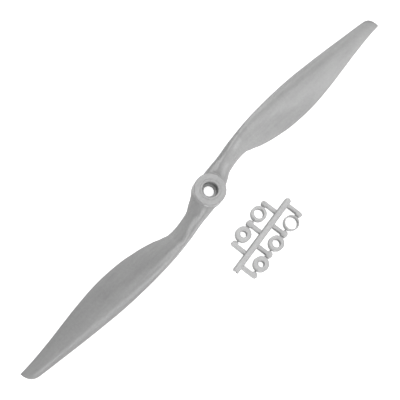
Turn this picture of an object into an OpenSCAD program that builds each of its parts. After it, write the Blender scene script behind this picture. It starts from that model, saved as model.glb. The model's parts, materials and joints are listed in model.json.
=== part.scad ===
// Two-blade propeller for a model aircraft, with its moulded tree of shaft adapter rings.
// The origin is on the hub axis at the rear face. +Z points out of the front face, and +X runs
// along the first blade. Seen from the front, the propeller turns counter-clockwise.

/* [Propeller] */
// Diameter swept by the blade tips
diameter = 254; // [230:1:280]
// Forward travel of the blade in one turn
pitch = 178; // [150:1:190]
// Forward rake of the blade tips above the root
rake = 4.4; // [0:0.1:6]

/* [Hub] */
// Outer diameter of the hub
hub_d = 16.3; // [16.2:0.1:18]
// Height of the hub from rear face to front face
hub_h = 10; // [9.6:0.1:12]
// Diameter of the seat for an adapter ring in the front face
ring_seat_d = 7.94; // [7.94:0.01:9]
// Depth of the seat for an adapter ring
ring_seat_depth = 3.8; // [2:0.1:5]
// Diameter of the shaft hole in the web behind the seat
shaft_d = 5.4; // [3:0.1:6.4]
// Diameter of the recess in the rear face
rear_recess_d = 8.4; // [7:0.1:10]
// Depth of the recess in the rear face
rear_recess_depth = 4.2; // [1:0.1:4.5]

/* [Blade] */
// Angle of the root section to the plane of rotation where it leaves the hub
root_angle = 24; // [16:1:28]
// Steepest angle of the blade
steepest_angle = 45; // [38:1:46]
// Thickness of the trailing edge
edge_t = 0.5; // [0.3:0.05:0.7]
// Camber as a share of the chord
camber = 0.045; // [0.02:0.005:0.06]
// Radius at which the tip starts to round off, as a share of the tip radius
tip_start = 0.93; // [0.9:0.01:0.95]

/* [Adapter rings] */
// Outer diameter of every adapter ring
ring_d = 7.9; // [7.6:0.05:7.9]
// Height of every adapter ring
ring_h = 3.8; // [3:0.1:4]
// Bores of the rings, from one end of the tree to the other
ring_bores = [6.6, 5.1, 4.2, 3.5, 3.2];

/* [Tree] */
// Distance between neighbouring arms on one side of the runner
arm_pitch = 13.2; // [13.2:0.1:15]
// Length of the runner
runner_l = 46.8; // [44.5:0.1:50]
// Width of the runner
runner_w = 3.3; // [2.6:0.1:3.6]
// Height of the runner
runner_h = 3; // [2.8:0.1:3.4]
// Width of an arm
arm_w = 2.2; // [1.8:0.1:2.3]
// Height of an arm
arm_h = 2.2; // [2:0.1:2.3]
// How far an arm's tip stands out from the middle of the runner
arm_reach = 10.2; // [9.5:0.1:11]
// Clearance left between a ring and the gates that hold it
gate_gap = 0.05; // [0.03:0.01:0.1]

/* [Hidden] */

nylon = "#b4b4b4";
tree_nylon = "#bdbdbd";
$fn = 96;
eps = 0.01;

tip_r = diameter / 2;
hub_r = hub_d / 2;
joint_gap = 0.02;            // between the blade's root end and the hub wall
warp_end = 14;               // radius from which the blade's sections are flat again
steep_end = 26;              // radius at which the blade reaches its steepest angle
outline_r = 127;             // tip radius that the outline below is drawn for

// Blade outline, as [radius, leading edge, trailing edge, thickness as a share of the chord]
outline = [
    [8, 7.6, -7.0, 0.46],
    [12, 8.2, -2.8, 0.50],
    [19, 8.9, -0.2, 0.48],
    [27, 9.7, 0.4, 0.34],
    [32, 10.2, -0.8, 0.24],
    [38, 10.6, -3.3, 0.18],
    [48, 10.7, -6.2, 0.145],
    [60, 10.3, -8.3, 0.125],
    [72, 9.4, -9.0, 0.115],
    [84, 7.9, -8.5, 0.105],
    [96, 6.2, -7.4, 0.10],
    [108, 4.3, -6.2, 0.10],
    [118, 2.7, -5.5, 0.10],
    [127, 1.2, -5.3, 0.10]];

root_rows = 6;               // blade sections between the hub wall and warp_end
span_rows = 30;              // blade sections from there to the start of the tip
tip_rows = 9;                // blade sections round the tip
ring_points = 32;            // points round a blade section
cap_steps = 8;               // steps across the face that meets the hub wall

// Place of the tree: its middle, its turn, and the row of ring centres on each side
tree_x = 3.4;
tree_y = -34.3;
tree_turn = 5.6;
row_offset = 7.9;            // from the middle of the runner to each row of ring centres
first_ring = 13.8;           // ring centre furthest along the runner, from the tree's middle
head_start = 6.4;            // where an arm starts to widen towards its rings
barb = 0.9;                  // how far an arm's head stands out towards a ring
tip_width = 0.7;             // width of an arm's blunt tip, as a share of the head behind it
gate_w = 0.8;                // width and height of a gate, and its height above the table
gate_h = 0.9;
gate_z = 0.9;
chamfer = 0.6;               // sloped top edges of the runner

// ---- blade ----

function mix(a, b, w) = a + (b - a) * w;
function clamp01(v) = min(1, max(0, v));
function smooth(v) = let (c = clamp01(v)) c * c * (3 - 2 * c);

// Slope of column c of the outline at row i
function slope(i, c) =
    let (a = max(0, i - 1), b = min(len(outline) - 1, i + 1))
    (outline[b][c] - outline[a][c]) / (outline[b][0] - outline[a][0]);

// Row of the outline that starts the stretch holding radius r
function stretch(r, i = 0) =
    i >= len(outline) - 2 || r < outline[i + 1][0] ? i : stretch(r, i + 1);

// Column c of the outline at radius r, on a smooth curve through its rows
function along(r, c) =
    let (i = stretch(r), p = outline[i], q = outline[i + 1], w = q[0] - p[0],
        s = clamp01((r - p[0]) / w), s2 = s * s, s3 = s2 * s)
    (2 * s3 - 3 * s2 + 1) * p[c] + (s3 - 2 * s2 + s) * w * slope(i, c)
        + (3 * s2 - 2 * s3) * q[c] + (s3 - s2) * w * slope(i + 1, c);

// Angle of the section at radius r: a true helix further out, easing down to the root angle
function twist(r) =
    let (helix = atan(pitch / (2 * PI * r)),
        steep = helix * pow(1 + pow(helix / steepest_angle, 8), -1 / 8))
    mix(root_angle, steep, smooth((r - hub_r) / (steep_end - hub_r)));

// Half thickness of an aerofoil of unit thickness, at share x of the chord from its nose
function aerofoil(x) = 10 * (0.2969 * sqrt(x) - 0.126 * x - 0.3516 * x * x
    + 0.2843 * pow(x, 3) - 0.1036 * pow(x, 4));

// Height of the camber line at share x of the chord, with its crest at 0.4
function camber_line(x) = x < 0.4 ? camber * (0.8 * x - x * x) / 0.16
    : camber * (0.2 + 0.8 * x - x * x) / 0.36;

// Section at radius r as [y, z] points: an aerofoil that swells to an oval at the root
function section(r) =
    let (ro = r * outline_r / tip_r, k = tip_r / outline_r,
        lead_full = along(ro, 1) * k, trail = along(ro, 2) * k,
        f = clamp01((r / tip_r - tip_start) / (1 - tip_start)),
        round_off = sqrt(max(0, 1 - pow(f, 5))),
        lead = trail + (lead_full - trail) * round_off,
        a = twist(r), chord_full = (lead_full - trail) / cos(a), chord = (lead - trail) / cos(a),
        t = along(ro, 3) * chord_full * mix(0.5, 1, round_off),
        oval = 1 - smooth((r - hub_r - 4) / 22),
        raw = [for (i = [0:ring_points - 1])
            let (th = 360 * i / ring_points, u = cos(th), x = (1 - u) / 2, side = sign(round(sin(th) * 1e6)),
                half = mix(t / 2 * aerofoil(x) + edge_t / 2 * x, t / 2 * abs(sin(th)), oval),
                v = side * half + camber_line(x) * chord * (1 - oval))
            [u * chord / 2 * cos(a) - v * sin(a), u * chord / 2 * sin(a) + v * cos(a)]],
        ys = [for (p = raw) p[0]], low = min(ys), high = max(ys),
        fit = (lead - trail) / (high - low),
        z_mid = hub_h / 2 - 0.2 + rake * pow(r / tip_r, 2)
            + 0.4 * smooth((r - hub_r) / steep_end)
            + ((lead - lead_full) / 2) * tan(a))
    [for (p = raw) [trail + (p[0] - low) * fit, z_mid + p[1] * fit]];

// Radii of the flat sections, closer together round the tip
warp_radii = [for (i = [0:root_rows - 1]) mix(hub_r, warp_end, i / root_rows)];
flat_radii = concat(
    [for (i = [0:span_rows - 1]) mix(warp_end, tip_r * tip_start, pow(i / span_rows, 0.9))],
    [for (i = [0:tip_rows]) tip_r * mix(tip_start, 1, sin(89 * i / tip_rows))]);

// Where the hub wall stands at y, or 0 for a point wider than the hub
function hub_wall_x(y) = sqrt(max(0, pow(hub_r + joint_gap, 2) - y * y));

// One row of blade points. The first rows bend from the round hub wall to a flat section
function warped_row(i) =
    [for (p = section(warp_radii[i])) [mix(hub_wall_x(p[0]), warp_end, i / root_rows), p[0], p[1]]];
function flat_row(r) = [for (p = section(r)) [r, p[0], p[1]]];

function flatten(rows) = [for (row = rows) each row];

// Points across the root end, on the hub wall between the front and the rear of the section
function cap_points(row) =
    [for (i = [1:ring_points / 2 - 1], k = [1:cap_steps - 1])
        let (a = row[i], b = row[ring_points - i], y = mix(a[1], b[1], k / cap_steps))
        [hub_wall_x(y), y, mix(a[2], b[2], k / cap_steps)]];

function cap_index(i, k, first) =
    i == 0 || i == ring_points / 2 || k == 0 ? i
    : k == cap_steps ? ring_points - i
    : first + (i - 1) * (cap_steps - 1) + k - 1;

// Two triangles of a four-sided patch, leaving out any that has two equal corners
function patch(a, b, c, d) =
    [for (t = [[a, b, c], [a, c, d]]) if (t[0] != t[1] && t[1] != t[2] && t[2] != t[0]) t];

module blade() {
    rows = concat([for (i = [0:root_rows - 1]) warped_row(i)], [for (r = flat_radii) flat_row(r)]);
    n = ring_points;
    last = (len(rows) - 1) * n;
    first_cap = len(rows) * n;
    skin = flatten([for (j = [0:len(rows) - 2], i = [0:n - 1])
        patch(j * n + i, j * n + (i + 1) % n, (j + 1) * n + (i + 1) % n, (j + 1) * n + i)]);
    root_end = flatten([for (i = [0:n / 2 - 1], k = [0:cap_steps - 1])
        patch(cap_index(i, k, first_cap), cap_index(i, k + 1, first_cap),
            cap_index(i + 1, k + 1, first_cap), cap_index(i + 1, k, first_cap))]);
    tip_end = flatten([for (i = [0:n / 2 - 1])
        patch(last + i, last + i + 1, last + (n - i - 1) % n, last + (n - i) % n)]);
    polyhedron(concat(flatten(rows), cap_points(rows[0])), concat(skin, root_end, tip_end));
}

module blade_1() { color(nylon) blade(); }
module blade_2() { color(nylon) rotate([0, 0, 180]) blade(); }

// ---- hub ----

module hub() {
    color(nylon) difference() {
        cylinder(d = hub_d, h = hub_h);
        translate([0, 0, -eps]) cylinder(d = shaft_d, h = hub_h + 2 * eps);
        translate([0, 0, hub_h - ring_seat_depth])
            cylinder(d = ring_seat_d, h = ring_seat_depth + eps);
        translate([0, 0, -eps]) cylinder(d = rear_recess_d, h = rear_recess_depth + eps);
    }
}

// ---- tree of adapter rings ----

// Ring centres, counted from 0: along the runner, and out from it. Even ones are on the outer
// side, away from the propeller, and odd ones on the inner side
function ring_s(i) = first_ring - i * arm_pitch / 2;
function ring_t(i) = i % 2 == 0 ? -row_offset : row_offset;

module on_tree() { translate([tree_x, tree_y, 0]) rotate([0, 0, tree_turn]) children(); }

module runner() {
    half = runner_w / 2;
    color(tree_nylon) on_tree() rotate([90, 0, 90]) translate([0, 0, -runner_l / 2])
        linear_extrude(runner_l) polygon([[-half, 0], [half, 0], [half, arm_h],
            [half - chamfer, runner_h], [chamfer - half, runner_h], [-half, arm_h]]);
}

// An arm whose head stands out towards the rings on the chosen sides, as flags 0 or 1
module arm(s, side, ahead, behind) {
    half = arm_w / 2;
    right = half + barb * ahead;
    left = half + barb * behind;
    color(tree_nylon) on_tree() translate([s, 0, 0]) scale([1, side, 1]) linear_extrude(arm_h)
        polygon([[-half, runner_w / 2], [half, runner_w / 2], [half, head_start],
            [right, row_offset - gate_w / 2], [right, row_offset + gate_w / 2],
            [right * tip_width, arm_reach], [-left * tip_width, arm_reach],
            [-left, row_offset + gate_w / 2], [-left, row_offset - gate_w / 2],
            [-half, head_start]]);
}

module outer_arm(i) {
    arm(first_ring + arm_pitch / 2 - i * arm_pitch, -1, i > 0 ? 1 : 0, i < 3 ? 1 : 0);
}
module inner_arm(i) {
    arm(first_ring - i * arm_pitch, 1, i > 0 ? 1 : 0, i < 2 ? 1 : 0);
}

module outer_arm_1() { outer_arm(0); }
module outer_arm_2() { outer_arm(1); }
module outer_arm_3() { outer_arm(2); }
module outer_arm_4() { outer_arm(3); }
module inner_arm_1() { inner_arm(0); }
module inner_arm_2() { inner_arm(1); }
module inner_arm_3() { inner_arm(2); }

module at_ring(i) { on_tree() translate([ring_s(i), ring_t(i), 0]) children(); }

module adapter_ring(i) {
    color(tree_nylon) at_ring(i) difference() {
        cylinder(d = ring_d, h = ring_h);
        translate([0, 0, -eps]) cylinder(d = ring_bores[i], h = ring_h + 2 * eps);
    }
}

module adapter_ring_1() { adapter_ring(0); }
module adapter_ring_2() { adapter_ring(1); }
module adapter_ring_3() { adapter_ring(2); }
module adapter_ring_4() { adapter_ring(3); }
module adapter_ring_5() { adapter_ring(4); }

// The two small gates that join a ring to the arm heads on either side of it
module ring_gates(i) {
    near = ring_d / 2 + gate_gap;
    far = arm_pitch / 2 - arm_w / 2 - barb;
    color(tree_nylon) at_ring(i) for (dir = [-1, 1])
        translate([dir * (near + far) / 2, 0, gate_z + gate_h / 2])
            cube([far - near, gate_w, gate_h], center = true);
}

module ring_gates_1() { ring_gates(0); }
module ring_gates_2() { ring_gates(1); }
module ring_gates_3() { ring_gates(2); }
module ring_gates_4() { ring_gates(3); }
module ring_gates_5() { ring_gates(4); }

hub();
blade_1();
blade_2();
runner();
outer_arm_1();
outer_arm_2();
outer_arm_3();
outer_arm_4();
inner_arm_1();
inner_arm_2();
inner_arm_3();
adapter_ring_1();
adapter_ring_2();
adapter_ring_3();
adapter_ring_4();
adapter_ring_5();
ring_gates_1();
ring_gates_2();
ring_gates_3();
ring_gates_4();
ring_gates_5();
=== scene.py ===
"""A moulded two-blade propeller for a model aircraft, with its tree of shaft adapter rings."""

import json
import math

import bmesh
import bpy
from mathutils import Matrix, Vector


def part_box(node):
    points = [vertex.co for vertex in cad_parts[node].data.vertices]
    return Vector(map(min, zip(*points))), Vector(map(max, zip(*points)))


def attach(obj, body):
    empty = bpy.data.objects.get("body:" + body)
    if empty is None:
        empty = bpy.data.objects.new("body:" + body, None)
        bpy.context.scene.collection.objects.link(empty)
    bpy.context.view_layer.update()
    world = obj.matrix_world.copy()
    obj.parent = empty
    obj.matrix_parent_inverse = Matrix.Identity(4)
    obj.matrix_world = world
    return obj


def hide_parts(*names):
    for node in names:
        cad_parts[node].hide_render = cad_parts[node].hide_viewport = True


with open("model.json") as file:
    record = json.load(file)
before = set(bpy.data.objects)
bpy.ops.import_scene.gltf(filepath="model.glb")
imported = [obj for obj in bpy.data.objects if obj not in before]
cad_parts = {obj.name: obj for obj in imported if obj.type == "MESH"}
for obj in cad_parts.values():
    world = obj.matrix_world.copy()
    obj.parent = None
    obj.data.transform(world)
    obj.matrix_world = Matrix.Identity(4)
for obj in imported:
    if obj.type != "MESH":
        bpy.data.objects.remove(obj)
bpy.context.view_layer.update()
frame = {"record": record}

MM = 0.001
MOUNTS = {mount["name"]: mount for mount in frame["record"]["mounts"]}


def bore_radius(name):
    """The radius of the bore that a mount names."""
    return MOUNTS[name]["dims"]["r_mm"] * MM


def wall_length(name):
    """How long the round wall of that bore is."""
    return MOUNTS[name]["dims"]["length_mm"] * MM


# Meshes: rows along and points around each skin, and what is welded or cleared as too small
BLADE_ROWS, BLADE_POINTS = 280, 121
RUNNER_ROWS, RUNNER_POINTS = 241, 101
ARM_ROWS, ARM_POINTS = 81, 49
GATE_ROWS, GATE_POINTS = 9, 17
WELD = 0.002 * MM
SLIVER = 0.0005 * MM
SHARP_EDGE = math.radians(25)

# Hub, with the roundings of its edges
HUB_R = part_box("hub")[1].x
HUB_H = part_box("hub")[1].z
GROOVE_R = 5.2 * MM
GROOVE_W = 0.3 * MM
GROOVE_DEPTH = 0.1 * MM
GROOVE_ROUND = 0.06 * MM
GROOVE_CORNER = 0.05 * MM
REAR_EDGE = 0.3 * MM
FRONT_EDGE = 0.4 * MM
SEAT_MOUTH = 0.35 * MM
RECESS_MOUTH = 0.25 * MM
SEAT_CORNER = 0.2 * MM
RECESS_CORNER = 0.3 * MM
WEB_EDGE = 0.15 * MM

# Blades: where the sections start and end, how they twist, and how the root meets the hub
TIP_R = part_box("blade_1")[1].x - 0.01 * MM
PITCH = 178 * MM
RAKE = 4.36 * MM
ROOT_ANGLE = math.radians(24)
STEEPEST_ANGLE = math.radians(45)
STEEP_END = 26 * MM
STEEP_SOFTNESS = 8.0
LEAD_INSET = 0.08 * MM
ROOT_DROP = 0.2 * MM
NECK_RISE = 0.4 * MM
OVAL_START = HUB_R + 4 * MM
OVAL_END = 34 * MM
WARP_END = 14 * MM
ROOT_ROWS = 0.02
END_CROWDING = 0.9
ROOT_SINK = 0.35 * MM
ROOT_DEPTH = 0.8 * MM
FILLET = 1 * MM
FILLET_SPREAD = 2 * MM
FACE_MARGIN = 0.25 * MM

# Blade section: thickness along the chord, a camber line with its peak, and a blunt rear edge
THICKNESS_TERMS = (0.2969, 0.126, 0.3516, 0.2843, 0.1036)
CAMBER = 0.045
CAMBER_PEAK = 0.4
EDGE_T = 0.5 * MM
EDGE_SQUARENESS = 60.0
NOSE_SHARE = 0.25
TIP_START = 0.93
TIP_ROUNDNESS = 5.0
TIP_THINNING = 24.0
TIP_THICKNESS = 0.5

# Blade outline: (radius, leading edge, trailing edge) in millimetres, and the thickness as a
# share of the width
RADIUS, LEAD, TRAIL, THICK = range(4)
OUTLINE = [
    (8, 7.6, -7.0, 0.46),
    (12, 8.2, -2.8, 0.50),
    (19, 8.9, -0.2, 0.48),
    (27, 9.7, 0.4, 0.34),
    (32, 10.2, -0.8, 0.24),
    (38, 10.6, -3.3, 0.18),
    (48, 10.7, -6.2, 0.145),
    (60, 10.3, -8.3, 0.125),
    (72, 9.4, -9.0, 0.115),
    (84, 7.9, -8.5, 0.105),
    (96, 6.2, -7.4, 0.10),
    (108, 4.3, -6.2, 0.10),
    (118, 2.7, -5.5, 0.10),
    (127, 1.2, -5.3, 0.10)]

# Tree of adapter rings
RINGS = range(1, 6)
RING_CENTRES = {i: Vector((*MOUNTS[f"ring_bore_{i}"]["pos_m"][:2], 0)) for i in RINGS}
RING_R = (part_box("adapter_ring_1")[1].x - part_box("adapter_ring_1")[0].x) / 2
RING_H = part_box("adapter_ring_1")[1].z
RING_EDGE = 0.15 * MM
ALONG = (RING_CENTRES[1] - RING_CENTRES[5]).normalized()
TREE_CENTRE = (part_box("runner")[0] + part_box("runner")[1]) / 2
ARM_PITCH = (RING_CENTRES[1] - RING_CENTRES[3]).length
ROW_OFFSET = abs((RING_CENTRES[1] - TREE_CENTRE).dot(Vector((-ALONG.y, ALONG.x, 0))))
RUNNER_W = 3.3 * MM
RUNNER_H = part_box("runner")[1].z
RUNNER_L = ((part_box("runner")[1].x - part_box("runner")[0].x) - RUNNER_W * abs(ALONG.y)) / ALONG.x
ARM_W = 2.2 * MM
ARM_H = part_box("outer_arm_1")[1].z
ARM_REACH = 10.2 * MM
ARM_SINK = 0.6 * MM
ARM_END = 0.7 * MM
ARM_TAPER = 0.25
BARB = 0.9 * MM
GATE_Z = (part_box("ring_gates_1")[0].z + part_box("ring_gates_1")[1].z) / 2
GATE_THIN = 0.24 * MM
GATE_THICK = 0.45 * MM
GATE_OVERLAP = 0.02 * MM
GATE_SINK = 0.2 * MM
GATE_LENGTH = ARM_PITCH / 2 - RING_R - ARM_W / 2 - BARB + GATE_SINK
RUNNER_END = 1.3 * MM
ROUND_END = 2.0
SNAPPED_END = 24.0
NOTCH = 0.5 * MM

# How far a barb stands out along an arm, as (share of the reach, share of the barb)
ARM_HEAD = [(0.0, 0.0), (0.61, 0.0), (0.68, 0.12), (0.73, 0.95), (0.78, 1.0), (0.86, 0.9),
            (1.0, 0.45)]

# Camera, from the front and nearly along the shaft
CAMERA_TILT = math.radians(15.22)
CAMERA_HEADING = math.radians(185.9)
CAMERA_SLANT = math.radians(46.68)
CAMERA_DISTANCE = 0.5583
CAMERA_TARGET = Vector((-4.9, 0.0, 0.0)) * MM
CAMERA_NUDGE = 0.25 * MM
CAMERA_LENS = 100.92

# Studio lamps, as (name, rightwards, upwards, backwards, power in watts)
LAMPS = [
    ("overhead_box", 0.25, 0.43, 0.87, 2.8),
    ("near_box", 0.0, -0.82, 0.57, 5.95),
    ("far_box", 0.0, 0.82, 0.57, 2.71),
    ("right_box", 0.82, 0.0, 0.57, 1.2),
    ("low_right_box", 0.98, 0.0, 0.21, 1.8)]
LAMP_SIZE = 0.5
TENT_LOW = 0.8
TENT_HIGH = 0.1
FLOOR_REACH = 3.0
FLOOR_GAP = 0.02 * MM
FLOOR_SEEN = 0.96
FLOOR_BOUNCED = 0.42

# Nylon: grey levels of the two mouldings, and how far the darkest and lightest flecks differ
PROPELLER_GREY = 0.36
TREE_GREY = 0.47
DARKEST = (0.84, 0.84, 0.845)
LIGHTEST = (1.14, 1.14, 1.135)


# ---- node trees ----

def plug(tree, value, socket):
    """Feeds a node's input from another node or with a plain value."""
    if isinstance(value, Field):
        tree.links.new(value.socket, socket)
    elif isinstance(value, bpy.types.NodeSocket):
        tree.links.new(value, socket)
    else:
        socket.default_value = value


def add_node(tree, kind, inputs=(), **settings):
    """Adds a node, with its settings and its inputs by name or number."""
    node = tree.nodes.new(kind)
    for name, value in settings.items():
        setattr(node, name, value)
    for name, value in dict(inputs).items():
        plug(tree, value, node.inputs[name])
    return node


class Field:
    """A number that varies over a mesh. Arithmetic on it adds Math nodes to its tree."""

    def __init__(self, tree, socket):
        self.tree = tree
        self.socket = socket

    def maths(self, operation, *others):
        node = add_node(self.tree, "ShaderNodeMath", operation=operation)
        for slot, value in enumerate((self, *others)):
            plug(self.tree, value, node.inputs[slot])
        return Field(self.tree, node.outputs[0])

    def __add__(self, other):
        return self.maths("ADD", other)

    def __sub__(self, other):
        return self.maths("SUBTRACT", other)

    def __mul__(self, other):
        return self.maths("MULTIPLY", other)

    def __truediv__(self, other):
        return self.maths("DIVIDE", other)

    def __pow__(self, other):
        return self.maths("POWER", other)

    def __neg__(self):
        return self * -1.0

    __radd__ = __add__
    __rmul__ = __mul__

    def __rsub__(self, other):
        return self * -1.0 + other

    def sin(self):
        return self.maths("SINE")

    def cos(self):
        return self.maths("COSINE")

    def tan(self):
        return self.maths("TANGENT")

    def root(self):
        return self.maths("MAXIMUM", 0.0).maths("SQRT")

    def size(self):
        return self.maths("ABSOLUTE")

    def sign(self):
        return self.maths("SIGN")

    def at_least(self, other):
        return self.maths("MAXIMUM", other)

    def at_most(self, other):
        return self.maths("MINIMUM", other)

    def over(self, other):
        """1 where this is greater than the other, and 0 elsewhere."""
        return self.maths("GREATER_THAN", other)

    def share(self, low, high):
        """Rises from 0 at low to 1 at high."""
        return ((self - low) / (high - low)).at_least(0.0).at_most(1.0)

    def ease(self, low, high):
        """Rises smoothly from 0 at low to 1 at high."""
        s = self.share(low, high)
        return s * s * (3.0 - 2.0 * s)

    def curve(self, points, handles="AUTO"):
        """Follows a curve through (position, value) points, both between 0 and 1."""
        node = add_node(self.tree, "ShaderNodeFloatCurve", {"Value": self})
        curve = node.mapping.curves[0]
        while len(curve.points) < len(points):
            curve.points.new(0.5, 0.5)
        for point, place in zip(curve.points, points):
            point.location = place
            point.handle_type = handles
        node.mapping.update()
        return Field(self.tree, node.outputs["Value"])


def blend(a, b, share):
    """a where share is 0, and b where it is 1."""
    return share * (b - a) + a


def start_tree(name, inputs):
    """Begins a Geometry Nodes tree. inputs gives each named input its kind of socket."""
    tree = bpy.data.node_groups.new(name, "GeometryNodeTree")
    tree.interface.new_socket("Geometry", in_out="OUTPUT", socket_type="NodeSocketGeometry")
    for label, kind in inputs.items():
        tree.interface.new_socket(label, in_out="INPUT", socket_type="NodeSocket" + kind)
    entry = add_node(tree, "NodeGroupInput")
    return tree, {label: Field(tree, entry.outputs[label]) for label in inputs}


def surface_grid(tree, across, around):
    """A grid that a formula wraps into a closed skin. Returns it with its two shares, 0 to 1."""
    grid = add_node(tree, "GeometryNodeMeshGrid",
                    {"Size X": 1.0, "Size Y": 1.0, "Vertices X": across, "Vertices Y": around})
    place = add_node(tree, "ShaderNodeSeparateXYZ",
                     {"Vector": add_node(tree, "GeometryNodeInputPosition").outputs[0]})
    return (grid.outputs["Mesh"], Field(tree, place.outputs["X"]) + 0.5,
            Field(tree, place.outputs["Y"]) + 0.5)


def wrap(tree, mesh, x, y, z):
    """Moves the grid's points to x, y and z, and welds its seam and its poles."""
    place = add_node(tree, "ShaderNodeCombineXYZ", {"X": x, "Y": y, "Z": z})
    moved = add_node(tree, "GeometryNodeSetPosition",
                     {"Geometry": mesh, "Position": place.outputs[0]})
    welded = add_node(tree, "GeometryNodeMergeByDistance",
                      {"Geometry": moved.outputs[0], "Distance": WELD})
    return welded.outputs[0]


def crease(tree, mesh):
    """Marks the edges of a skin's flat sides as sharp."""
    bend = Field(tree, add_node(tree, "GeometryNodeInputMeshEdgeAngle").outputs[0])
    marked = add_node(tree, "GeometryNodeSetShadeSmooth",
                      {"Geometry": mesh, "Selection": bend.over(SHARP_EDGE), "Shade Smooth": False},
                      domain="EDGE")
    return marked.outputs[0]


def end_tree(tree, mesh, material):
    """Closes a tree with smooth shading, real geometry and its material."""
    smooth = add_node(tree, "GeometryNodeSetShadeSmooth", {"Geometry": mesh})
    creased = crease(tree, smooth.outputs[0])
    real = add_node(tree, "GeometryNodeRealizeInstances", {"Geometry": creased})
    painted = add_node(tree, "GeometryNodeSetMaterial",
                       {"Geometry": real.outputs[0], "Material": material})
    leave = add_node(tree, "NodeGroupOutput")
    tree.links.new(painted.outputs[0], leave.inputs["Geometry"])


def grow(name, tree, inputs):
    """Runs a tree on an empty object and keeps the result as that object's plain mesh."""
    piece = bpy.data.objects.new(name, bpy.data.meshes.new(name))
    bpy.context.scene.collection.objects.link(piece)
    modifier = piece.modifiers.new("Grow", "NODES")
    modifier.node_group = tree
    sockets = {item.name: item.identifier for item in tree.interface.items_tree
               if item.in_out == "INPUT"}
    for label, value in inputs.items():
        modifier[sockets[label]] = value
    grown = piece.evaluated_get(bpy.context.evaluated_depsgraph_get())
    mesh = bpy.data.meshes.new_from_object(grown)
    piece.modifiers.remove(modifier)
    piece.data = mesh
    face_outwards(mesh)
    return piece


def face_outwards(mesh):
    """Clears slivers from a mesh and points its faces outwards."""
    work = bmesh.new()
    work.from_mesh(mesh)
    bmesh.ops.dissolve_degenerate(work, edges=work.edges, dist=SLIVER)
    bmesh.ops.recalc_face_normals(work, faces=work.faces)
    work.to_mesh(mesh)
    work.free()


def numbered_copies(tree, mesh, count, label):
    """Lays real copies of a grid on one place, and gives each its number, from 0."""
    line = add_node(tree, "GeometryNodeMeshLine", {"Count": count, "Offset": (0.0, 0.0, 0.0)})
    copies = add_node(tree, "GeometryNodeInstanceOnPoints",
                      {"Points": line.outputs[0], "Instance": mesh})
    numbered = add_node(tree, "GeometryNodeStoreNamedAttribute",
                        {"Geometry": copies.outputs[0], "Name": label,
                         "Value": add_node(tree, "GeometryNodeInputIndex").outputs[0]},
                        data_type="INT", domain="INSTANCE")
    real = add_node(tree, "GeometryNodeRealizeInstances", {"Geometry": numbered.outputs[0]})
    number = add_node(tree, "GeometryNodeInputNamedAttribute", {"Name": label}, data_type="INT")
    return real.outputs[0], Field(tree, number.outputs["Attribute"])


# ---- blade ----

def outline_curve(radius_share, column, low, high):
    """One column of the outline, between low and high, as a smooth curve over the radius."""
    points = [(row[RADIUS] * MM / TIP_R, (row[column] - low) / (high - low)) for row in OUTLINE]
    return radius_share.curve(points) * (high - low) + low


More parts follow.
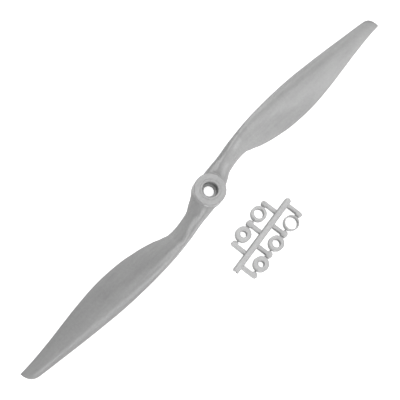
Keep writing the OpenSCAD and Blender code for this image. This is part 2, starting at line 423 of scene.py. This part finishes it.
def blade_tree():
    """A blade: an aerofoil carried along its outline on a helix, swelling to an oval root."""
    tree, size = start_tree("Propeller blade", {
        "Tip radius": "Float", "Hub radius": "Float", "Hub height": "Float",
        "Pitch": "Float", "Rake": "Float", "Camber": "Float", "Edge thickness": "Float",
        "Direction": "Float", "Sections": "Int", "Section points": "Int",
        "Material": "Material"})
    mesh, span, turn = surface_grid(tree, size["Sections"], size["Section points"])
    tip, hub = size["Tip radius"], size["Hub radius"]

    # The first few rows close the root inside the hub; the rest run out to the tip, crowded
    # together at both ends
    closing = span.share(0.0, ROOT_ROWS)
    out = span.share(ROOT_ROWS, 1.0)
    out = out - (out * (2 * math.pi)).sin() * (END_CROWDING / (2 * math.pi))
    r = blend(hub, tip, out)
    share = r / tip

    lead_full = outline_curve(share, LEAD, -2, 12) * MM - LEAD_INSET
    trail = outline_curve(share, TRAIL, -10, 2) * MM
    thick = outline_curve(share, THICK, 0, 0.6)
    tip_share = share.share(TIP_START, 1.0)
    round_off = (1.0 - tip_share ** TIP_ROUNDNESS).root()
    lead = blend(trail, lead_full, round_off)

    helix = (size["Pitch"] / (r * (2 * math.pi))).maths("ARCTANGENT")
    steep = helix * (1.0 + (helix / STEEPEST_ANGLE) ** STEEP_SOFTNESS) ** (-1 / STEEP_SOFTNESS)
    angle = blend(ROOT_ANGLE, steep, ((r - hub) / (STEEP_END - hub)).ease(0.0, 1.0))
    cos, sin = angle.cos(), angle.sin()
    oval = 1.0 - r.ease(OVAL_START, OVAL_END)

    width_full = lead_full - trail
    t = thick * width_full / cos * blend(TIP_THICKNESS, 1.0, round_off)
    t = t * (1.0 - tip_share ** TIP_THINNING).root()
    width = lead - trail
    nose = blend(NOSE_SHARE, 1.0, oval)
    chord = (width * width - (nose * t * sin) ** 2.0).root() / cos

    around = turn * (2 * math.pi)
    u = around.cos()
    x = (1.0 - u) * 0.5
    side = around.sin().sign()
    a, b, c, d, e = THICKNESS_TERMS
    aerofoil = 10.0 * (a * x.root() - b * x - c * x * x + d * x ** 3.0 - e * x ** 4.0)
    blunt = (1.0 - x ** EDGE_SQUARENESS).root()
    edge = (size["Edge thickness"] * x * 0.5).at_most(t * 0.5) * blunt
    half = blend(t * 0.5 * aerofoil + edge, t * 0.5 * around.sin().size(), oval)
    peak = CAMBER_PEAK
    front = size["Camber"] * (2 * peak * x - x * x) / peak ** 2
    rear = size["Camber"] * (1 - 2 * peak + 2 * peak * x - x * x) / (1 - peak) ** 2
    camber = blend(front, rear, x.over(peak)) * chord * (1.0 - oval)
    v = side * half + camber

    y = (lead + trail) * 0.5 + (u * chord * 0.5 * cos - v * sin) * closing
    middle = (size["Hub height"] * 0.5 - ROOT_DROP + size["Rake"] * share * share
              + NECK_RISE * ((r - hub) / STEEP_END).ease(0.0, 1.0)
              + (lead - lead_full) * 0.5 * angle.tan())
    lift = (u * chord * 0.5 * sin + v * cos) * closing

    # Near the hub the sections bend round its wall, sink a little into it and swell in a fillet
    wall = (hub * hub - y * y).root() - ROOT_SINK
    flat = r.share(HUB_R, WARP_END)
    station = blend(wall - (1.0 - closing) * ROOT_DEPTH, WARP_END, flat)
    x_place = blend(station, r, r.over(WARP_END))
    clear = (x_place - wall - ROOT_SINK).share(0.0, FILLET)
    swell = 1.0 - (1.0 - (1.0 - clear) ** 2.0).root()
    bare = middle + lift
    room_above = (size["Hub height"] - FACE_MARGIN - bare).at_least(0.0).at_most(FILLET)
    room_below = (bare - FACE_MARGIN).at_least(0.0).at_most(FILLET)
    raised = bare + room_above * lift.share(0.0, FILLET_SPREAD) * swell
    z = raised - room_below * (-lift).share(0.0, FILLET_SPREAD) * swell

    direction = size["Direction"]
    skin = wrap(tree, mesh, x_place * direction, y * direction, z)
    end_tree(tree, skin, size["Material"])
    return tree


def make_blade(name, tree, direction, material):
    """One blade, along +X (1) or -X (-1)."""
    return grow(name, tree, {
        "Tip radius": TIP_R, "Hub radius": HUB_R, "Hub height": HUB_H, "Pitch": PITCH,
        "Rake": RAKE, "Camber": CAMBER, "Edge thickness": EDGE_T, "Direction": float(direction),
        "Sections": BLADE_ROWS, "Section points": BLADE_POINTS, "Material": material})


# ---- hub ----

def rounded(corners, steps=6):
    """A closed outline with each (x, z, radius) corner rounded into an arc."""
    outline = []
    for i, (x, z, radius) in enumerate(corners):
        here = Vector((x, z))
        before = (Vector(corners[i - 1][:2]) - here).normalized()
        after = (Vector(corners[(i + 1) % len(corners)][:2]) - here).normalized()
        reach = radius / math.tan(before.angle(after) / 2)
        centre = here + (before + after).normalized() * math.hypot(radius, reach)
        start, end = here + before * reach - centre, here + after * reach - centre
        swing = start.angle_signed(end)
        for k in range(steps + 1):
            turned = start.copy()
            turned.rotate(Matrix.Rotation(-swing * k / steps, 2))
            outline.append(centre + turned)
    return outline


def turned_part(name, outline, material, segments=160):
    """A piece with a round form: the closed outline of (radius, height) points, turned on Z."""
    work = bmesh.new()
    rings = []
    for k in range(segments):
        angle = 2 * math.pi * k / segments
        rings.append([work.verts.new((p.x * math.cos(angle), p.x * math.sin(angle), p.y))
                      for p in outline])
    for k, ring in enumerate(rings):
        following = rings[(k + 1) % segments]
        for i in range(len(outline)):
            j = (i + 1) % len(outline)
            work.faces.new((ring[i], following[i], following[j], ring[j]))
    bmesh.ops.recalc_face_normals(work, faces=work.faces)
    for face in work.faces:
        face.smooth = True
    mesh = bpy.data.meshes.new(name)
    work.to_mesh(mesh)
    work.free()
    mesh.materials.append(material)
    piece = bpy.data.objects.new(name, mesh)
    bpy.context.scene.collection.objects.link(piece)
    piece.modifiers.new("Even shading", "WEIGHTED_NORMAL")
    return piece


def make_hub(material):
    """The hub, from the rear recess out, over the front face and down through the ring seat."""
    shaft = bore_radius("shaft_hole")
    seat, seat_floor = bore_radius("ring_seat"), HUB_H - wall_length("ring_seat")
    recess, recess_floor = bore_radius("rear_recess"), wall_length("rear_recess")
    groove_floor = HUB_H - GROOVE_DEPTH
    corners = [
        (recess, 0, RECESS_MOUTH),
        (HUB_R, 0, REAR_EDGE),
        (HUB_R, HUB_H, FRONT_EDGE),
        (GROOVE_R + GROOVE_W, HUB_H, GROOVE_ROUND),
        (GROOVE_R + GROOVE_W / 2, groove_floor, GROOVE_CORNER),
        (GROOVE_R - GROOVE_W / 2, groove_floor, GROOVE_CORNER),
        (GROOVE_R - GROOVE_W, HUB_H, GROOVE_ROUND),
        (seat, HUB_H, SEAT_MOUTH),
        (seat, seat_floor, SEAT_CORNER),
        (shaft, seat_floor, WEB_EDGE),
        (shaft, recess_floor, WEB_EDGE),
        (recess, recess_floor, RECESS_CORNER)]
    return turned_part("hub_moulding", rounded(corners), material)


# ---- tree of adapter rings ----

def ring_tree():
    """An adapter ring: a rounded rectangle carried round a circle."""
    tree, size = start_tree("Adapter ring", {
        "Outer radius": "Float", "Bore radius": "Float", "Height": "Float",
        "Edge rounding": "Float", "Centre": "Vector", "Material": "Material"})
    wall = size["Outer radius"] - size["Bore radius"]
    section = add_node(tree, "GeometryNodeCurvePrimitiveQuadrilateral",
                       {"Width": wall, "Height": size["Height"]}, mode="RECTANGLE")
    soft = add_node(tree, "GeometryNodeFilletCurve",
                    {"Curve": section.outputs[0], "Radius": size["Edge rounding"], "Count": 5},
                    mode="POLY")
    path = add_node(tree, "GeometryNodeCurvePrimitiveCircle",
                    {"Resolution": 128, "Radius": size["Outer radius"] - wall * 0.5})
    ring = add_node(tree, "GeometryNodeCurveToMesh",
                    {"Curve": path.outputs[0], "Profile Curve": soft.outputs[0]})
    half_up = add_node(tree, "ShaderNodeCombineXYZ", {"Z": size["Height"] * 0.5})
    lift = add_node(tree, "ShaderNodeVectorMath", operation="ADD")
    plug(tree, size["Centre"], lift.inputs[0])
    plug(tree, half_up.outputs[0], lift.inputs[1])
    placed = add_node(tree, "GeometryNodeTransform",
                      {"Geometry": ring.outputs[0], "Translation": lift.outputs[0]})
    end_tree(tree, placed.outputs[0], size["Material"])
    return tree


def make_ring(i, tree, material):
    """One adapter ring, with the bore that its mount gives."""
    piece = grow(f"ring_{i}_moulding", tree, {
        "Outer radius": RING_R, "Bore radius": bore_radius(f"ring_bore_{i}"), "Height": RING_H,
        "Edge rounding": RING_EDGE, "Centre": RING_CENTRES[i], "Material": material})
    piece.modifiers.new("Even shading", "WEIGHTED_NORMAL")
    return piece


def moulded_bar(turn, taper, chamfer_x, chamfer_z):
    """Carries turn, 0 to 1, round a bar's section: drafted sides and chamfered top edges.

    Gives the place across, -1 to 1, and the height, 0 to 1. The taper and the chamfer are
    shares of them."""
    side, flat = 1.0 - taper, 1.0 - taper - chamfer_x
    corners = [(0, -1, 0), (0.25, 1, 0), (0.42, side, 1 - chamfer_z), (0.5, flat, 1),
               (0.75, -flat, 1), (0.83, -side, 1 - chamfer_z), (1, -1, 0)]
    across = turn.curve([(t, (x + 1) / 2) for t, x, z in corners], "VECTOR") * 2.0 - 1.0
    return across, turn.curve([(t, z) for t, x, z in corners], "VECTOR")


def on_tree(tree, mesh, s, t, z):
    """Wraps a grid to a place along and across the runner, turned with the whole tree."""
    cos, sin = ALONG.x, ALONG.y
    return wrap(tree, mesh, s * cos - t * sin + TREE_CENTRE.x, s * sin + t * cos + TREE_CENTRE.y, z)


def runner_tree():
    """The runner: a bar with sloping sides, a round end and a snapped, notched end."""
    tree, size = start_tree("Runner", {
        "Length": "Float", "Width": "Float", "Height": "Float", "Material": "Material"})
    mesh, along, turn = surface_grid(tree, RUNNER_ROWS, RUNNER_POINTS)
    across, up = moulded_bar(turn, taper=0.05, chamfer_x=0.3, chamfer_z=0.2)
    s = (along - 0.5) * size["Length"]
    half = size["Length"] * 0.5
    near_end = (s.size() - half + RUNNER_END).share(0.0, RUNNER_END)
    snapped = (-s).over(0.0)
    shut = (1.0 - near_end ** blend(ROUND_END, SNAPPED_END, snapped)).root()
    t = across * size["Width"] * 0.5 * shut
    notch = (1.0 - t.size() / NOTCH).at_least(0.0) * NOTCH * near_end * snapped
    skin = on_tree(tree, mesh, s + notch, t, up * size["Height"])
    end_tree(tree, skin, size["Material"])
    return tree


def arm_tree():
    """A row of arms: each runs out from the runner to a head with barbs towards its rings."""
    tree, size = start_tree("Arms", {
        "Count": "Int", "First": "Float", "Pitch": "Float", "Side": "Float", "Reach": "Float",
        "Width": "Float", "Height": "Float", "Barb": "Float", "Material": "Material"})
    mesh, along, turn = surface_grid(tree, ARM_ROWS, ARM_POINTS)
    arms, arm = numbered_copies(tree, mesh, size["Count"], "arm")

    across, up = moulded_bar(turn, taper=0.05, chamfer_x=0.22, chamfer_z=0.13)
    t = blend(RUNNER_W * 0.5 - ARM_SINK, size["Reach"], along)
    share = t / size["Reach"]
    head = share.curve(ARM_HEAD)

    # An arm at the end of its row has a ring, and so a barb, on one side only
    has_ring_ahead = arm.over(0.5)
    has_ring_behind = (size["Count"] - 1.5 - arm).over(0.0)
    has_barb = blend(has_ring_behind, has_ring_ahead, across.over(0.0))
    taper = 1.0 - ARM_TAPER * share.ease(0.84, 1.0)
    half = size["Width"] * 0.5 * taper + size["Barb"] * head * has_barb
    end = t.share(size["Reach"] - ARM_END, size["Reach"])
    shut = (1.0 - end ** 2.0).root() * along.over(0.001)
    place = size["First"] - arm * size["Pitch"] + across * half * shut
    skin = on_tree(tree, arms, place, t * size["Side"], up * size["Height"])
    end_tree(tree, skin, size["Material"])
    return tree


def make_arms(name, tree, count, first, side, material):
    """One row of arms, on the outer side (-1) or the inner side (1) of the runner."""
    return grow(name, tree, {
        "Count": count, "First": first, "Pitch": ARM_PITCH, "Side": float(side),
        "Reach": ARM_REACH, "Width": ARM_W, "Height": ARM_H, "Barb": BARB, "Material": material})


def gate_tree():
    """The gates: a short cone on each side of every ring, thin where it breaks off the ring."""
    tree, size = start_tree("Ring gates", {
        "Rings": "Int", "First": "Float", "Step": "Float", "Row offset": "Float",
        "Ring radius": "Float", "Length": "Float", "Material": "Material"})
    mesh, along, turn = surface_grid(tree, GATE_ROWS, GATE_POINTS)
    gates, gate = numbered_copies(tree, mesh, size["Rings"] * 2, "gate")
    ring = (gate * 0.5).maths("FLOOR")
    end = (gate - ring * 2.0) * 2.0 - 1.0
    side = (ring * 0.5).maths("FRACT") * 4.0 - 1.0

    around = turn * (2 * math.pi)
    shut = (along * (1.0 - along)).over(0.0001)
    radius = blend(GATE_THIN, GATE_THICK, along) * shut
    s = size["First"] - ring * size["Step"] + end * (size["Ring radius"] + along * size["Length"])
    t = size["Row offset"] * side + around.cos() * radius
    z = GATE_Z + around.sin() * radius
    end_tree(tree, on_tree(tree, gates, s, t, z), size["Material"])
    return tree


# ---- materials ----

def noise(tree, place, scale, detail, roughness):
    """A noise over the surface, as a number that varies about 0.5."""
    node = add_node(tree, "ShaderNodeTexNoise",
                    {"Vector": place, "Scale": scale, "Detail": detail, "Roughness": roughness})
    return Field(tree, node.outputs[0])


def nylon(name, shade, streaks):
    """Moulded nylon: flow streaks, faint mottling, glass-fibre grain and a satin skin."""
    material = bpy.data.materials.new(name)
    material.use_nodes = True
    tree = material.node_tree
    tree.nodes.clear()
    place = add_node(tree, "ShaderNodeTexCoord").outputs["Object"]
    flow = add_node(tree, "ShaderNodeMapping", {"Vector": place, "Scale": streaks})
    streak = noise(tree, flow.outputs[0], scale=1.0, detail=5.0, roughness=0.55)
    mottle = noise(tree, place, scale=90.0, detail=4.0, roughness=0.6)
    clouds = noise(tree, place, scale=900.0, detail=3.0, roughness=0.6)
    grain = noise(tree, place, scale=2600.0, detail=3.0, roughness=0.7)
    cells = add_node(tree, "ShaderNodeTexVoronoi", {"Vector": place, "Scale": 1500.0}, feature="F1")
    fibre = Field(tree, cells.outputs["Distance"])
    tone = streak * 0.35 + mottle * 0.2 + clouds * 0.3 + grain * 0.15
    colour = add_node(tree, "ShaderNodeValToRGB", {"Fac": tone})
    dark, light = colour.color_ramp.elements
    dark.position = 0.3
    dark.color = (*[shade * level for level in DARKEST], 1)
    light.position = 0.7
    light.color = (*[shade * level for level in LIGHTEST], 1)
    sheen = mottle * 0.16 + grain * 0.12 + 0.1
    height = grain * 0.6 + fibre * 0.4 + clouds * 2.0 + streak * 1.5
    bump = add_node(tree, "ShaderNodeBump",
                    {"Strength": 0.35, "Distance": 0.02 * MM, "Height": height})
    skin = add_node(tree, "ShaderNodeBsdfPrincipled",
                    {"Base Color": colour.outputs[0], "Roughness": sheen,
                     "Normal": bump.outputs[0], "IOR": 1.53})
    out = add_node(tree, "ShaderNodeOutputMaterial")
    tree.links.new(skin.outputs[0], out.inputs["Surface"])
    return material


def floor_paint():
    """A lit white table: it looks evenly white, and throws a softer light up at the object."""
    material = bpy.data.materials.new("white_floor")
    material.use_nodes = True
    tree = material.node_tree
    skin = tree.nodes["Principled BSDF"]
    skin.inputs["Base Color"].default_value = (0.5, 0.5, 0.5, 1)
    skin.inputs["Roughness"].default_value = 0.8
    skin.inputs["Emission Color"].default_value = (1, 1, 1, 1)
    seen = Field(tree, add_node(tree, "ShaderNodeLightPath").outputs["Is Camera Ray"])
    plug(tree, blend(FLOOR_BOUNCED, FLOOR_SEEN, seen), skin.inputs["Emission Strength"])
    return material


# ---- camera, light and floor ----

def make_camera():
    """Looks down the shaft, tilted a little, with the blades lying along the view's diagonal.

    Gives the view's directions: rightwards, upwards and back towards the camera."""
    lean = math.sin(CAMERA_TILT)
    back = Vector((lean * math.cos(CAMERA_HEADING), lean * math.sin(CAMERA_HEADING),
                   math.cos(CAMERA_TILT)))
    blade = (Vector((1, 0, 0)) - back * back.x).normalized()
    lead = back.cross(blade)
    right = blade * math.cos(CAMERA_SLANT) - lead * math.sin(CAMERA_SLANT)
    up = blade * math.sin(CAMERA_SLANT) + lead * math.cos(CAMERA_SLANT)
    camera = bpy.data.objects.new("camera", bpy.data.cameras.new("camera"))
    camera.data.lens = CAMERA_LENS
    camera.data.sensor_width = 36
    camera.data.clip_start = 0.01
    turn = Matrix((right, up, back)).transposed().to_4x4()
    spot = CAMERA_TARGET + back * CAMERA_DISTANCE + (up - right) * CAMERA_NUDGE
    camera.matrix_world = Matrix.Translation(spot) @ turn
    bpy.context.scene.collection.objects.link(camera)
    bpy.context.scene.camera = camera
    return right, up, back


def soft_box(name, direction, power):
    """A square studio lamp, 1 m away, that shines on the hub from that direction."""
    light = bpy.data.lights.new(name, "AREA")
    light.size = LAMP_SIZE
    light.energy = power
    lamp = bpy.data.objects.new(name, light)
    lamp.location = direction.normalized()
    lamp.rotation_euler = direction.to_track_quat("Z", "Y").to_euler()
    bpy.context.scene.collection.objects.link(lamp)


def light_tent():
    """A tent of white cloth: brightest low down and dimmer overhead."""
    world = bpy.data.worlds.new("light_tent")
    world.use_nodes = True
    tree = world.node_tree
    way = add_node(tree, "ShaderNodeTexCoord").outputs["Generated"]
    sky = add_node(tree, "ShaderNodeSeparateXYZ", {"Vector": way})
    height = Field(tree, sky.outputs["Z"])
    glow = blend(TENT_LOW, TENT_HIGH, height.ease(0.25, 0.55))
    tree.links.new(glow.socket, tree.nodes["Background"].inputs["Strength"])
    tree.nodes["Background"].inputs["Color"].default_value = (1, 1, 1, 1)
    return world


def make_studio():
    """The camera, the lamps, the light tent and the floor."""
    right, up, back = make_camera()
    for name, rightwards, upwards, backwards, power in LAMPS:
        soft_box(name, right * rightwards + up * upwards + back * backwards, power)
    bpy.context.scene.world = light_tent()
    bpy.context.scene.view_settings.view_transform = "Standard"
    mesh = bpy.data.meshes.new("floor")
    reach = FLOOR_REACH
    mesh.from_pydata([(-reach, -reach, 0), (reach, -reach, 0), (reach, reach, 0),
                      (-reach, reach, 0)], [], [(0, 1, 2, 3)])
    mesh.materials.append(floor_paint())
    floor = bpy.data.objects.new("floor", mesh)
    floor.location.z = -FLOOR_GAP
    bpy.context.scene.collection.objects.link(floor)


# ---- assembly ----

def fit(piece, body, slot, *nodes):
    """Hands a finished piece to its body, in place of the CAD nodes it stands for."""
    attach(piece, body)
    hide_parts(*nodes)


make_studio()

propeller_nylon = nylon("propeller_nylon", PROPELLER_GREY, (60.0, 420.0, 420.0))
tree_nylon = nylon("tree_nylon", TREE_GREY, (300.0, 300.0, 300.0))

fit(make_hub(propeller_nylon), "propeller", "propeller_nylon", "hub")
blade_shape = blade_tree()
for number, direction in ((1, 1), (2, -1)):
    blade = make_blade(f"blade_{number}_moulding", blade_shape, direction, propeller_nylon)
    fit(blade, "propeller", "propeller_nylon", f"blade_{number}")

first_ring = (RING_CENTRES[1] - TREE_CENTRE).dot(ALONG)
runner = grow("runner_moulding", runner_tree(), {
    "Length": RUNNER_L, "Width": RUNNER_W, "Height": RUNNER_H, "Material": tree_nylon})
fit(runner, "tree", "tree_nylon", "runner")
arm_shape = arm_tree()
outer_arms = make_arms("outer_arms_moulding", arm_shape, 4, first_ring + ARM_PITCH / 2, -1,
                       tree_nylon)
fit(outer_arms, "tree", "tree_nylon", *[f"outer_arm_{i}" for i in range(1, 5)])
inner_arms = make_arms("inner_arms_moulding", arm_shape, 3, first_ring, 1, tree_nylon)
fit(inner_arms, "tree", "tree_nylon", *[f"inner_arm_{i}" for i in range(1, 4)])
gates = grow("gates_moulding", gate_tree(), {
    "Rings": len(RINGS), "First": first_ring, "Step": ARM_PITCH / 2, "Row offset": ROW_OFFSET,
    "Ring radius": RING_R - GATE_OVERLAP, "Length": GATE_LENGTH, "Material": tree_nylon})
fit(gates, "tree", "tree_nylon", *[f"ring_gates_{i}" for i in RINGS])

ring_shape = ring_tree()
for i in RINGS:
    fit(make_ring(i, ring_shape, tree_nylon), f"ring_{i}", "ring_nylon", f"adapter_ring_{i}")
